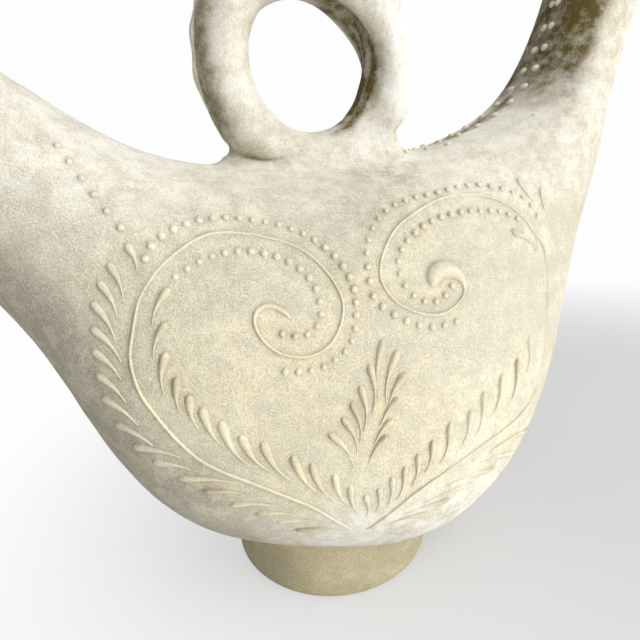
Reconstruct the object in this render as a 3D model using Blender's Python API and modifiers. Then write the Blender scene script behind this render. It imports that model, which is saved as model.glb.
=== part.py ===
"""Hen-shaped water pitcher of pale unglazed clay, with a ring handle, a turned foot and trailed slip.

The bird is one smooth loft from the tail mouth to the top of the neck.  The potter throws the body as
two dishes and joins them rim to rim, so the body is a front and a back shell with a seam on y = 0.
The tail is the filler, the beak is the spout.  Lengths are in metres, +Z is up, the head points to +X,
and the origin is on the table under the middle of the bird's length.
"""

import math

import bmesh
import bpy
import numpy as np
from mathutils import Matrix, Vector
from mathutils.bvhtree import BVHTree

MM = 0.001

# Fits
LUTE_GAP = 0.3 * MM
SLIP_GAP = 0.5 * MM

# Bird: stations from the tail mouth to the top of the neck, each with its upper point (x, z),
# its lower point (x, z) and its half width, in units of the drawing, which is scaled to BIRD_LENGTH
BIRD_LENGTH = 399 * MM
STATIONS = (
    ((-195, 304), (-221, 279), 26),
    ((-173, 282), (-200, 246), 25),
    ((-146, 256), (-174, 212), 28),
    ((-118, 234), (-148, 178), 35),
    ((-90, 213), (-121, 136), 46),
    ((-62, 200), (-101, 82), 59),
    ((-30, 195), (-64, 33), 66),
    ((0, 194), (4, 12), 70),
    ((34, 196), (69, 22), 68.5),
    ((62, 201), (109, 65), 56),
    ((90, 211), (127, 123), 42),
    ((112, 227), (143, 173), 33),
    ((126, 250), (158, 222), 25),
    ((134, 276), (172, 263), 21.5),
    ((141, 303), (174, 297), 18),
    ((148, 329), (178, 326), 16),
)
UNIT = BIRD_LENGTH / (STATIONS[-1][1][0] - STATIONS[0][1][0])
SECTION_POWER = 2.25
WALL = 6 * MM
BACK_STATION = 7
TAIL_JOINT = 2.7
NECK_JOINT = 12.9
BODY_SECTION_COUNT = 30
BODY_SIDES = 32
CAVITY_SECTION_COUNT = 28
CAVITY_SIDES = 18
TAIL_SECTION_COUNT = 7
NECK_SECTION_COUNT = 5

# Rolled rim of the tail mouth
RIM_RADIUS = 3.6 * MM

# Foot
FOOT_RIM_RADIUS = 52.2 * MM
FOOT_WAIST_RADIUS = 49.6 * MM
FOOT_TOP_RADIUS = 53.5 * MM
FOOT_WAIST_HEIGHT = 20 * MM
FOOT_TOP_HEIGHT = 40 * MM
FOOT_WALL = 8 * MM
FOOT_BEVEL = 1.5 * MM
FOOT_TUCK = 20 * MM
FOOT_STEPS = 32

# Ring handle, pressed into the back, with a saddle of clay that fills the corners under it
RING_RADIUS = 36.7 * MM
RING_COIL_RADIUS = 10.7 * MM
RING_STRETCH = 1.03
RING_SINK = 8.1 * MM
RING_AROUND = 30
RING_ACROSS = 10
SADDLE_MARGIN = 4.6 * MM
SADDLE_THICKNESS = 35 * MM
CRIMP_RADIUS = 1.7 * MM
CRIMP_DEPTH = 0.5 * MM
CRIMP_COUNT = 13
CRIMP_FROM = -22
CRIMP_TO = 202

# Head, beak, comb, wattles and eyes
HEAD_FORWARD = 3 * MM
HEAD_SINK = 0.5 * MM
HEAD_LENGTH = 56 * MM
HEAD_WIDTH = 43 * MM
HEAD_HEIGHT = 48 * MM
HEAD_WALL = 5 * MM
NECK_BORE = 18 * MM
BEAK_TILT = 4
BEAK_REACH = 58.3 * MM
BEAK_BASE_RADIUS = 11 * MM
BEAK_TIP_RADIUS = 6 * MM
BEAK_BORE = 7.4 * MM
BEAK_ROOT = 8 * MM
COMB_THICKNESS = 7 * MM
COMB_RADIUS = 34 * MM
COMB_LOBES = 5
COMB_LOBE_DEPTH = 5 * MM
COMB_FROM = 50
COMB_TO = 150
COMB_ROOT = 6 * MM
WATTLE_DROP = (20 * MM, 9 * MM, -21 * MM)
WATTLE_SIZE = (9 * MM, 7 * MM, 20 * MM)
EYE_FORWARD = 9 * MM
EYE_RAISED = 4 * MM
EYE_SIZE = (9 * MM, 5 * MM, 9 * MM)

# Trailed slip: paths on the side of the bird as (x, z) in units of the drawing, base to scroll end
TAIL_SCROLL = (
    (-9, 41), (-35, 70), (-62, 92), (-81, 116), (-87, 140), (-78, 163), (-60, 174), (-42, 173),
    (-26, 166), (-16, 153), (-20, 138), (-33, 132), (-45, 138), (-46, 147), (-41, 148),
)
NECK_SCROLL = (
    (3, 43), (18, 60), (48, 77), (72, 98), (82, 126), (80, 154), (66, 173), (45, 180),
    (24, 175), (8, 165), (2, 152), (8, 142), (22, 139), (35, 146), (31, 154), (25, 153),
)
STEM_WIDTH = 2.2 * MM
STEM_HEIGHT = 1.2 * MM
STEM_RINGS = 42
PATH_STEPS = 400
LAYER_LIFT = 0.06 * MM
SCROLL_DROP = 6.5 * MM
LEAF_WIDTH = 4.4 * MM
LEAF_HEIGHT = 1.5 * MM
LEAF_PITCH = 9.2 * MM
LEAF_REACH = 13 * MM
TAIL_LEAVES = 16
TAIL_LEAF_OUT = 11 * MM
TAIL_LEAF_IN = 15 * MM
NECK_LEAVES = 12
NECK_LEAF_OUT = 9 * MM
NECK_LEAF_IN = 15 * MM
BEAD_SIZE = 3.2 * MM
BEAD_HEIGHT = 1.6 * MM
BEAD_PITCH = 6.5 * MM
BEAD_ROOT = 0.9 * MM
BEAD_SIDES = 4
BEAD_PATH_STEPS = 60
OUTER_BEADS = (34, 51)
INNER_BEADS = (35, 50)
TAIL_BEADS_OUT = 6.4 * MM
TAIL_BEADS_IN = 6.8 * MM
NECK_BEADS_OUT = 5 * MM
NECK_BEADS_IN = 7.2 * MM
CREST_BEADS = ((44, 192), (66, 196), (92, 206), (112, 222), (125, 243), (132, 264))
SPRAY_BASE = (-9, 80)
SPRAY_TOP = (-3, 116)
SPRAY_LEAVES = 5
SPRAY_SPREAD = 12 * MM
SPRAY_REACH = 17 * MM

# Clay
CLAY = (0.74, 0.66, 0.54, 1)
SLIP = (0.80, 0.74, 0.64, 1)
FOOT_CLAY = (0.70, 0.58, 0.43, 1)


def clear_scene():
    for obj in list(bpy.data.objects):
        bpy.data.objects.remove(obj, do_unlink=True)


def new_collection(name):
    made = bpy.data.collections.new(name)
    bpy.context.scene.collection.children.link(made)
    return made


def clay(name, colour):
    material = bpy.data.materials.new(name)
    material.use_nodes = True
    shader = material.node_tree.nodes["Principled BSDF"]
    shader.inputs["Base Color"].default_value = colour
    shader.inputs["Roughness"].default_value = 0.9
    shader.inputs["Metallic"].default_value = 0
    return material


def add_object(name, mesh, group, colour=CLAY):
    obj = bpy.data.objects.new(name, mesh)
    group.objects.link(obj)
    if group is PARTS:
        mesh.materials.append(clay(name + "_clay", colour))
        for face in mesh.polygons:
            face.use_smooth = True
        mesh.set_sharp_from_angle(angle=math.radians(40))
    else:
        obj.hide_render = True
        obj.display_type = "WIRE"
    return obj


def mesh_from_bmesh(name, made):
    bmesh.ops.recalc_face_normals(made, faces=made.faces)
    mesh = bpy.data.meshes.new(name)
    made.to_mesh(mesh)
    made.free()
    return mesh


def cut(obj, *cutters):
    for cutter in cutters:
        step = obj.modifiers.new("cut_" + cutter.name, "BOOLEAN")
        step.operation = "DIFFERENCE"
        step.solver = "EXACT"
        step.object = cutter


def join(obj, extra):
    step = obj.modifiers.new("join_" + extra.name, "BOOLEAN")
    step.operation = "UNION"
    step.solver = "EXACT"
    step.object = extra
    return step


class Spline:
    """Natural cubic spline through evenly numbered points, straight beyond its ends."""

    def __init__(self, points):
        self.points = np.array(points, float)
        count = len(self.points)
        rows = np.eye(count)
        right = np.zeros_like(self.points)
        for i in range(1, count - 1):
            rows[i, i - 1:i + 2] = 1, 4, 1
            right[i] = 6 * (self.points[i - 1] - 2 * self.points[i] + self.points[i + 1])
        self.bend = np.linalg.solve(rows, right)

    def at(self, t):
        i = int(np.clip(math.floor(t), 0, len(self.points) - 2))
        u = t - i
        start, end = self.points[i], self.points[i + 1]
        rise = self.bend[i], self.bend[i + 1]
        slope = end - start - (2 * rise[0] + rise[1]) / 6
        if u < 0:
            return start + slope * u
        if u > 1:
            return end + (slope + (rise[0] + rise[1]) / 2) * (u - 1)
        return start + slope * u + rise[0] * u * u / 2 + (rise[1] - rise[0]) * u ** 3 / 6

    def evenly(self, count):
        """Points at equal steps of length along the curve."""
        fine = np.array([self.at(t) for t in np.linspace(0, len(self.points) - 1, 40 * len(self.points))])
        run = np.concatenate([[0], np.cumsum(np.linalg.norm(np.diff(fine, axis=0), axis=1))])
        steps = np.linspace(0, run[-1], count)
        return np.stack([np.interp(steps, run, fine[:, k]) for k in range(fine.shape[1])], 1), run[-1]


UPPER = Spline([[UNIT * v for v in station[0]] for station in STATIONS])
LOWER = Spline([[UNIT * v for v in station[1]] for station in STATIONS])
HALF_WIDTH = Spline([[UNIT * station[2]] for station in STATIONS])
LAST = len(STATIONS) - 1
BACK_HEIGHT = UPPER.at(BACK_STATION)[1]
NECK_TOP = (UPPER.at(LAST) + LOWER.at(LAST)) / 2
HEAD_PLACE = Vector((NECK_TOP[0] + HEAD_FORWARD, 0, NECK_TOP[1] - HEAD_SINK))
RING_HEIGHT = BACK_HEIGHT - RING_SINK + RING_STRETCH * (RING_RADIUS + RING_COIL_RADIUS)
SADDLE_LENGTH = 2 * (RING_RADIUS + RING_COIL_RADIUS + SADDLE_MARGIN)
SADDLE_RISE = 2 * RING_STRETCH * RING_COIL_RADIUS - RING_SINK


def section(t, grow, angles, shift=0):
    """The bird's outline at station t, grown outwards, at these angles from its upper point."""
    upper, lower = UPPER.at(t), LOWER.at(t)
    middle, reach = (upper + lower) / 2, (upper - lower) / 2
    reach = reach * (1 + grow / np.linalg.norm(reach))
    width = HALF_WIDTH.at(t)[0] + grow
    power = 2 / SECTION_POWER
    points = []
    for angle in angles:
        along = math.copysign(abs(math.cos(angle)) ** power, math.cos(angle))
        across = math.copysign(abs(math.sin(angle)) ** power, math.sin(angle))
        if abs(math.sin(angle)) < 1e-9:
            across = 0
        x, z = middle + reach * along
        points.append(Vector((x, shift + width * across, z)))
    return points


def loft(name, rings):
    """A closed solid through rings of equal length, with flat ends."""
    made = bmesh.new()
    rows = [[made.verts.new(p) for p in ring] for ring in rings]
    count = len(rows[0])
    for below, above in zip(rows, rows[1:]):
        for i in range(count):
            j = (i + 1) % count
            made.faces.new((below[i], below[j], above[j], above[i]))
    made.faces.new(rows[0])
    made.faces.new(rows[-1])
    return mesh_from_bmesh(name, made)


def whole_turn(sides):
    return [2 * math.pi * i / sides for i in range(sides)]


def bird_loft(name, start, end, sections, grow, sides=BODY_SIDES):
    angles = whole_turn(sides)
    return loft(name, [section(t, grow, angles) for t in np.linspace(start, end, sections)])


def half_loft(name, start, end, side):
    """One dish of the body: the part of the bird on this side of the seam."""
    angles = [side * math.pi * 2 * i / BODY_SIDES for i in range(BODY_SIDES // 2 + 1)]
    shift = side * LUTE_GAP / 2
    return loft(name, [section(t, 0, angles, shift) for t in np.linspace(start, end, BODY_SECTION_COUNT)])


def joint_step(t):
    """Half of the station step that leaves the luting gap on both edges of a joint."""
    step = 0.01
    upper = np.linalg.norm(UPPER.at(t + step) - UPPER.at(t)) / step
    lower = np.linalg.norm(LOWER.at(t + step) - LOWER.at(t)) / step
    return LUTE_GAP / min(upper, lower) / 2


def ellipsoid(name, place, size, segments, rings):
    made = bmesh.new()
    bmesh.ops.create_uvsphere(made, u_segments=segments, v_segments=rings, radius=0.5)
    bmesh.ops.scale(made, vec=size, verts=made.verts)
    bmesh.ops.translate(made, vec=place, verts=made.verts)
    return mesh_from_bmesh(name, made)


def cone_along(name, start, direction, length, near, far, segments):
    made = bmesh.new()
    bmesh.ops.create_cone(
        made, cap_ends=True, segments=segments, radius1=near, radius2=far, depth=length
    )
    turn = Vector((0, 0, 1)).rotation_difference(direction).to_matrix().to_4x4()
    place = Matrix.Translation(Vector(start) + direction * length / 2) @ turn
    bmesh.ops.transform(made, matrix=place, verts=made.verts)
    return mesh_from_bmesh(name, made)


def grown(size, by):
    return tuple(value + 2 * by for value in size)


def meshed_curve(name, curve):
    """The curve as a welded mesh."""
    holder = bpy.data.objects.new(name, curve)
    CUTTERS.objects.link(holder)
    graph = bpy.context.evaluated_depsgraph_get()
    mesh = bpy.data.meshes.new_from_object(holder.evaluated_get(graph))
    bpy.data.objects.remove(holder, do_unlink=True)
    made = bmesh.new()
    made.from_mesh(mesh)
    bmesh.ops.remove_doubles(made, verts=made.verts, dist=MM / 100)
    return mesh_from_bmesh(name, made)


def poly_curve(name, points, radii, depth, cyclic):
    curve = bpy.data.curves.new(name, "CURVE")
    curve.dimensions = "3D"
    curve.bevel_depth = depth
    curve.bevel_resolution = 1
    curve.use_fill_caps = not cyclic
    line = curve.splines.new("POLY")
    line.points.add(len(points) - 1)
    for spot, point, radius in zip(line.points, points, radii):
        spot.co = (*point, 1)
        spot.radius = radius
    line.use_cyclic_u = cyclic
    return curve


class Skin:
    """The outside of the bird on one side, for laying slip on it."""

    def __init__(self, mesh, side):
        self.side = side
        corners = [v.co.copy() for v in mesh.vertices]
        self.tree = BVHTree.FromPolygons(corners, [tuple(p.vertices) for p in mesh.polygons])

    def spot(self, x, z):
        """The point of the skin seen straight from the side at (x, z), and its outward direction."""
        start = Vector((x, self.side, z))
        place, normal, face, far = self.tree.ray_cast(start, Vector((0, -self.side, 0)))
        if place is None:
            place, normal, face, far = self.tree.find_nearest(Vector((x, 0, z)))
        if normal.y * self.side < 0:
            normal = -normal
        return place, normal

    def clear(self, point, gap):
        """The point moved off the skin by this gap."""
        place, normal, face, far = self.tree.find_nearest(point)
        if normal.y * self.side < 0:
            normal = -normal
        return place + normal * gap

    def lift(self, edge):
        """Raises the points of an edge where the skin bulges up between two of them."""
        for a, b in zip(edge, edge[1:]):
            middle = (a + b) / 2
            place, normal, face, far = self.tree.find_nearest(middle)
            if normal.y * self.side < 0:
                normal = -normal
            short = LUTE_GAP / 2 - (middle - place).dot(normal)
            if short > 0:
                a += normal * short
                b += normal * short


def build_bird():
    half_tail, half_neck = joint_step(TAIL_JOINT), joint_step(NECK_JOINT)
    hollow = bird_loft("cavity", -0.2, LAST + 0.3, CAVITY_SECTION_COUNT, -WALL, CAVITY_SIDES)
    cavity = add_object("cavity", hollow, CUTTERS)
    start, end = TAIL_JOINT + half_tail, NECK_JOINT - half_neck
    sides = []
    for name, side in (("body_front_shell", -1), ("body_back_shell", 1)):
        shell = add_object(name, half_loft(name, start, end, side), PARTS)
        sides.append((shell, Skin(shell.data, side)))
        cut(shell, cavity)
    tail_loft = bird_loft("tail_filler", 0, TAIL_JOINT - half_tail, TAIL_SECTION_COUNT, 0)
    tail = add_object("tail_filler", tail_loft, PARTS)
    cut(tail, cavity)
    neck_loft = bird_loft("neck_tube", NECK_JOINT + half_neck, LAST, NECK_SECTION_COUNT, 0)
    neck = add_object("neck_tube", neck_loft, PARTS)
    cut(neck, cavity)
    space = bird_loft("bird_space", start, end, BODY_SECTION_COUNT, 1.5 * LUTE_GAP)
    return neck, sides, add_object("bird_space", space, CUTTERS)


def build_tail_rim():
    """A rolled rim that sits on the cut end of the tail."""
    angles = whole_turn(24)
    outward = UPPER.at(0) - UPPER.at(1) + LOWER.at(0) - LOWER.at(1)
    across = UPPER.at(0) - LOWER.at(0)
    normal = Vector((-across[1], 0, across[0])).normalized()
    if normal.x * outward[0] + normal.z * outward[1] < 0:
        normal = -normal
    lift = normal * (RIM_RADIUS + LUTE_GAP)
    points = [p + lift for p in section(0, -WALL / 2, angles)]
    curve = poly_curve("tail_mouth_rim", points, [1] * len(points), RIM_RADIUS, True)
    add_object("tail_mouth_rim", meshed_curve("tail_mouth_rim", curve), PARTS)


def build_foot(body_cutter):
    """A turned pedestal, hollow below, whose top follows the underside of the bird."""
    inner = FOOT_WAIST_RADIUS - FOOT_WALL
    tall = FOOT_TOP_HEIGHT + FOOT_TUCK
    profile = (
        (FOOT_TOP_RADIUS, tall), (FOOT_TOP_RADIUS, FOOT_TOP_HEIGHT),
        (FOOT_WAIST_RADIUS + MM, (FOOT_WAIST_HEIGHT + FOOT_TOP_HEIGHT) / 2),
        (FOOT_WAIST_RADIUS, FOOT_WAIST_HEIGHT),
        (FOOT_RIM_RADIUS, FOOT_WAIST_HEIGHT / 4),
        (FOOT_RIM_RADIUS, FOOT_BEVEL), (FOOT_RIM_RADIUS - FOOT_BEVEL, 0),
        (inner + FOOT_BEVEL, 0), (inner, FOOT_BEVEL), (inner, tall),
    )
    made = bmesh.new()
    line = [made.verts.new((r, 0, z)) for r, z in profile]
    for i, spot in enumerate(line):
        made.edges.new((spot, line[(i + 1) % len(line)]))
    mesh = bpy.data.meshes.new("foot_pedestal")
    made.to_mesh(mesh)
    made.free()
    foot = add_object("foot_pedestal", mesh, PARTS, FOOT_CLAY)
    turn = foot.modifiers.new("turn", "SCREW")
    turn.axis = "Z"
    turn.steps = FOOT_STEPS
    turn.render_steps = FOOT_STEPS
    turn.use_merge_vertices = True
    turn.merge_threshold = 0.00005
    turn.use_smooth_shade = True
    cut(foot, body_cutter)


def ring_mesh(name, coil):
    bpy.ops.mesh.primitive_torus_add(
        major_radius=RING_RADIUS, minor_radius=coil,
        major_segments=RING_AROUND, minor_segments=RING_ACROSS,
    )
    obj = bpy.context.object
    mesh = obj.data
    mesh.name = name
    upright = Matrix.Rotation(math.radians(90), 4, "X")
    stretch = Matrix.Diagonal((1, 1, RING_STRETCH, 1))
    mesh.transform(Matrix.Translation((0, 0, RING_HEIGHT)) @ stretch @ upright)
    bpy.data.objects.remove(obj, do_unlink=True)
    return mesh


def ring_point(angle, radius):
    return Vector((
        radius * math.cos(angle), 0, RING_HEIGHT + RING_STRETCH * radius * math.sin(angle)
    ))


def build_handle(body_cutter):
    ring = add_object("handle_ring", ring_mesh("handle_ring", RING_COIL_RADIUS), PARTS)
    cut(ring, body_cutter)
    grown_ring = ring_mesh("ring_space", RING_COIL_RADIUS + LUTE_GAP)
    ring_cutter = add_object("ring_space", grown_ring, CUTTERS)
    place = (0, 0, BACK_HEIGHT)
    size = (SADDLE_LENGTH, SADDLE_THICKNESS, 2 * SADDLE_RISE)
    saddle = add_object("handle_saddle", ellipsoid("handle_saddle", place, size, 20, 10), PARTS)
    cut(saddle, ring_cutter, body_cutter)

    steps = 2 * CRIMP_COUNT + 1
    points, radii = [], []
    for i in range(steps):
        angle = math.radians(CRIMP_FROM + (CRIMP_TO - CRIMP_FROM) * i / (steps - 1))
        wave = math.cos(2 * math.pi * CRIMP_COUNT * i / (steps - 1))
        radius = CRIMP_RADIUS - CRIMP_DEPTH * wave
        stand = RING_RADIUS + RING_COIL_RADIUS + LUTE_GAP + radius
        points.append(ring_point(angle, stand))
        radii.append(radius / CRIMP_RADIUS)
    curve = poly_curve("handle_crimped_band", points, radii, CRIMP_RADIUS, False)
    add_object("handle_crimped_band", meshed_curve("handle_crimped_band", curve), PARTS)


def build_head(neck):
    size = (HEAD_LENGTH, HEAD_WIDTH, HEAD_HEIGHT)
    place = HEAD_PLACE
    head = add_object("head_shell", ellipsoid("head_shell", place, size, 18, 10), PARTS)
    hollow = ellipsoid("head_hollow", place, grown(size, -HEAD_WALL), 12, 8)
    inside = add_object("head_hollow", hollow, CUTTERS)
    around = ellipsoid("head_space", place, grown(size, LUTE_GAP), 18, 10)
    space = add_object("head_space", around, CUTTERS)
    neck_top = (UPPER.at(LAST - 1) + LOWER.at(LAST - 1)) / 2
    down = Vector((neck_top[0], 0, neck_top[1])) - place
    bore_radius = NECK_BORE / 2
    bore = cone_along(
        "neck_bore", place, down.normalized(), 2 * HEAD_HEIGHT / 3, bore_radius, bore_radius, 16
    )
    neck_bore = add_object("neck_bore", bore, CUTTERS)
    tilt = math.radians(BEAK_TILT)
    ahead = Vector((math.cos(tilt), 0, math.sin(tilt)))
    run = BEAK_REACH + BEAK_BASE_RADIUS
    spout = cone_along("beak_bore", place, ahead, run, BEAK_BORE / 2, BEAK_BORE / 2, 14)
    beak_bore = add_object("beak_bore", spout, CUTTERS)
    cut(head, inside, neck_bore, beak_bore)
    cut(neck, space)
    root = HEAD_LENGTH / 2 - BEAK_ROOT
    shape = cone_along(
        "beak_spout", place + ahead * root, ahead, BEAK_REACH - root, BEAK_BASE_RADIUS, BEAK_TIP_RADIUS, 18
    )
    beak = add_object("beak_spout", shape, PARTS)
    cut(beak, space, beak_bore)

    outline = []
    steps = 6 * COMB_LOBES
    for i in range(steps + 1):
        angle = math.radians(COMB_FROM + (COMB_TO - COMB_FROM) * i / steps)
        lobe = abs(math.sin(math.pi * COMB_LOBES * i / steps))
        radius = COMB_RADIUS + COMB_LOBE_DEPTH * lobe
        outline.append((radius * math.cos(angle), radius * math.sin(angle)))
    low = HEAD_HEIGHT / 2 - COMB_ROOT
    for angle in (COMB_TO, COMB_FROM):
        outline.append((low * math.cos(math.radians(angle)), low * math.sin(math.radians(angle))))
    curve = bpy.data.curves.new("comb", "CURVE")
    curve.dimensions = "2D"
    curve.fill_mode = "BOTH"
    curve.extrude = COMB_THICKNESS / 2
    line = curve.splines.new("POLY")
    line.points.add(len(outline) - 1)
    for spot, point in zip(line.points, outline):
        spot.co = (*point, 0, 1)
    line.use_cyclic_u = True
    mesh = meshed_curve("comb", curve)
    mesh.transform(Matrix.Translation(place) @ Matrix.Rotation(math.radians(90), 4, "X"))
    comb = add_object("comb", mesh, PARTS)
    cut(comb, space)

    beak_space = cone_along(
        "beak_space", place + ahead * root, ahead, BEAK_REACH - root,
        BEAK_BASE_RADIUS + LUTE_GAP, BEAK_TIP_RADIUS + LUTE_GAP, 18
    )
    beak_cutter = add_object("beak_space", beak_space, CUTTERS)
    for name, side in (("front", -1), ("back", 1)):
        spot = place + Vector((WATTLE_DROP[0], side * WATTLE_DROP[1], WATTLE_DROP[2]))
        drop = ellipsoid(name + "_wattle", spot, WATTLE_SIZE, 10, 8)
        wattle = add_object(name + "_wattle", drop, PARTS)
        cut(wattle, space, beak_cutter)
        left = 1 - (EYE_FORWARD / HEAD_LENGTH * 2) ** 2 - (EYE_RAISED / HEAD_HEIGHT * 2) ** 2
        stand = HEAD_WIDTH / 2 * math.sqrt(left)
        spot = place + Vector((EYE_FORWARD, side * stand, EYE_RAISED))
        eye = add_object(name + "_eye", ellipsoid(name + "_eye", spot, EYE_SIZE, 10, 6), PARTS)
        cut(eye, space)


def trail(made, skin, path, widths, heights, gap=SLIP_GAP):
    """Adds a ridge of slip along a path of (x, z) points, with a width and height at each."""
    count = len(path)
    spots = [skin.spot(x, z) for x, z in path]
    lefts, crests, rights = [], [], []
    for i, (place, normal) in enumerate(spots):
        ahead = spots[min(i + 1, count - 1)][0] - spots[max(i - 1, 0)][0]
        across = normal.cross(ahead).normalized() * widths[i] / 2
        lefts.append(skin.clear(place + across, gap))
        rights.append(skin.clear(place - across, gap))
        crests.append(place + normal * (gap + heights[i]))
    skin.lift(lefts)
    skin.lift(rights)
    rows = [[made.verts.new(p) for p in row] for row in zip(lefts, crests, rights)]
    for below, above in zip(rows, rows[1:]):
        for i in range(3):
            j = (i + 1) % 3
            made.faces.new((below[i], below[j], above[j], above[i]))
    made.faces.new(rows[0])
    made.faces.new(rows[-1])


def beside(path, offset):
    """The path moved sideways, to the left of its run where the offset is positive."""
    run = np.gradient(path, axis=0)
    run = run / np.linalg.norm(run, axis=1)[:, None]
    return path + offset * np.stack([-run[:, 1], run[:, 0]], 1)


def leaf(made, skin, tail, head, bow, layer):
    """A comma of slip: a thin tail that swells into a round head, on its own layer over the stem."""
    tail, head = np.array(tail), np.array(head)
    run = head - tail
    side = np.array([-run[1], run[0]]) * bow
    path, widths, heights = [], [], []
    for u, width in ((0, 0.3), (0.75, 1), (1, 0.5)):
        path.append(tail + run * u + side * math.sin(math.pi * u))
        widths.append(LEAF_WIDTH * width)
        heights.append(LEAF_HEIGHT * (0.5 + width / 2))
    trail(made, skin, path, widths, heights, SLIP_GAP + layer * LAYER_LIFT)


def united(name, base, extra):
    """The base trail joined with all of the trails laid across it, as one body."""
    core = add_object(name, mesh_from_bmesh(name, base), PARTS, SLIP)
    more = add_object(name + "_leaves", mesh_from_bmesh(name + "_leaves", extra), CUTTERS)
    join(core, more).use_self = True


def build_scroll(name, skin, points, leaves, out, into):
    stem, length = Spline(np.array(points) * UNIT).evenly(STEM_RINGS)
    base, extra = bmesh.new(), bmesh.new()
    widths = [STEM_WIDTH] * STEM_RINGS
    widths[-2:] = SCROLL_DROP, SCROLL_DROP / 2
    trail(base, skin, stem, widths, [STEM_HEIGHT] * STEM_RINGS)
    fine, length = Spline(np.array(points) * UNIT).evenly(PATH_STEPS)
    turn = 1 if points[-1][0] < 0 else -1
    step = length / (PATH_STEPS - 1)
    for i in range(leaves):
        foot = int((i + 1) * LEAF_PITCH / step)
        tip = foot + int(LEAF_REACH / step)
        spread = min(1, 0.3 + i / 5)
        outer = beside(fine, turn * out * spread)[tip]
        inner = beside(fine, -turn * into * spread)[tip]
        leaf(extra, skin, fine[foot], outer, 0.08 * turn, 1 + i % 2)
        leaf(extra, skin, fine[foot + int(LEAF_PITCH / step / 2)], inner, -0.08 * turn, 3 + i % 2)
    united(name, base, extra)


def bead_row(made, skin, path):
    """Adds beads of slip at an even pitch along a path, each rooted in the skin."""
    spots, length = Spline(path).evenly(2)
    count = max(2, round(length / BEAD_PITCH))
    spots, length = Spline(path).evenly(count)
    for x, z in spots:
        place, normal = skin.spot(x, z)
        side = normal.cross(Vector((0, 0, 1))).normalized()
        over = side.cross(normal)
        ring = []
        for angle in whole_turn(BEAD_SIDES):
            reach = (side * math.cos(angle) + over * math.sin(angle)) * BEAD_SIZE / 2
            ring.append(place + reach - normal * BEAD_ROOT)
        low = [made.verts.new(p) for p in ring]
        top = made.verts.new(place + normal * BEAD_HEIGHT)
        made.faces.new(low)
        for i, spot in enumerate(low):
            made.faces.new((spot, low[(i + 1) % BEAD_SIDES], top))


def build_slip(name, shell, skin):
    """The slip on one side: two scrolls and a spray of their own, and beads fused with the shell."""
    build_scroll(name + "_tail_scroll", skin, TAIL_SCROLL, TAIL_LEAVES, TAIL_LEAF_OUT, TAIL_LEAF_IN)
    build_scroll(name + "_neck_scroll", skin, NECK_SCROLL, NECK_LEAVES, NECK_LEAF_OUT, NECK_LEAF_IN)

    beads = bmesh.new()
    for points, turn, outer, inner in (
        (TAIL_SCROLL, 1, TAIL_BEADS_OUT, TAIL_BEADS_IN),
        (NECK_SCROLL, -1, NECK_BEADS_OUT, NECK_BEADS_IN),
    ):
        fine, length = Spline(np.array(points) * UNIT).evenly(BEAD_PATH_STEPS)
        bead_row(beads, skin, beside(fine, turn * outer)[slice(*OUTER_BEADS)])
        bead_row(beads, skin, beside(fine, -turn * inner)[slice(*INNER_BEADS)])
    bead_row(beads, skin, np.array(CREST_BEADS) * UNIT)
    more = add_object(name + "_beads", mesh_from_bmesh(name + "_beads", beads), CUTTERS)
    join(shell, more)

    base, extra = bmesh.new(), bmesh.new()
    low, high = np.array(SPRAY_BASE) * UNIT, np.array(SPRAY_TOP) * UNIT
    axis = (high - low) / np.linalg.norm(high - low)
    across = np.array([axis[1], -axis[0]])
    leaf(base, skin, low, high + axis * SPRAY_REACH, 0, 0)
    for i in range(SPRAY_LEAVES):
        foot = low + (high - low) * i / SPRAY_LEAVES
        for turn in (-1, 1):
            spread = SPRAY_SPREAD * (1 - 0.5 * i / SPRAY_LEAVES)
            head = foot + axis * SPRAY_REACH + across * turn * spread
            leaf(extra, skin, foot, head, -0.06 * turn, 2 + turn + i % 2)
    united(name + "_centre_spray", base, extra)


clear_scene()
PARTS = new_collection("hen_pitcher")
CUTTERS = new_collection("hen_pitcher_cutters")
bird_neck, (front, back), bird_space = build_bird()
build_tail_rim()
build_foot(bird_space)
build_handle(bird_space)
build_head(bird_neck)
build_slip("front", *front)
build_slip("back", *back)
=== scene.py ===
"""Looks of the hen-shaped pitcher: smooth hand-joined clay, trailed slip, grime with painted shade, painted
light and soft daylight.

The CAD nodes are the frame.  Every visible piece here follows the CAD model's stations, ring, foot and head,
with a finer surface and a few corrections from the photograph, and takes the place of its node.  Lengths are
in metres, in the CAD frame.
"""

import math

import bmesh
import bpy
import numpy as np
from mathutils import Matrix, Vector, kdtree, noise
from mathutils.bvhtree import BVHTree


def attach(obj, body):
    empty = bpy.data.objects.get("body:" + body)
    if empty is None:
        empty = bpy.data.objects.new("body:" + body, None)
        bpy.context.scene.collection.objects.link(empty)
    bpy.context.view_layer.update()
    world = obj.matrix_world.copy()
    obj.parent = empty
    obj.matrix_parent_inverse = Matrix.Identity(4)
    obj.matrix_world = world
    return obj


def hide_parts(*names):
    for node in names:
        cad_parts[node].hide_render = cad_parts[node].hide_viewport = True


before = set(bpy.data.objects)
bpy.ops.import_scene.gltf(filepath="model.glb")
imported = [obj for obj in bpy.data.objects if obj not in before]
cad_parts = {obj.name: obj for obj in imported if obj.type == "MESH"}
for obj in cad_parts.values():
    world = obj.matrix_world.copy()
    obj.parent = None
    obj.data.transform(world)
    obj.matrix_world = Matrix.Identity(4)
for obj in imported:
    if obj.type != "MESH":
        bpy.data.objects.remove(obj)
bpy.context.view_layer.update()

MM = 0.001

# Camera, fitted by trial to the photograph
CAMERA_PLACE = Vector((-78.1 * MM, -212.7 * MM, 195 * MM))
CAMERA_AZIMUTH = -20
CAMERA_PITCH = 18
CAMERA_ROLL = -3
FOCAL_PX = 481
FRAME_PX = 640
SENSOR = 36

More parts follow.
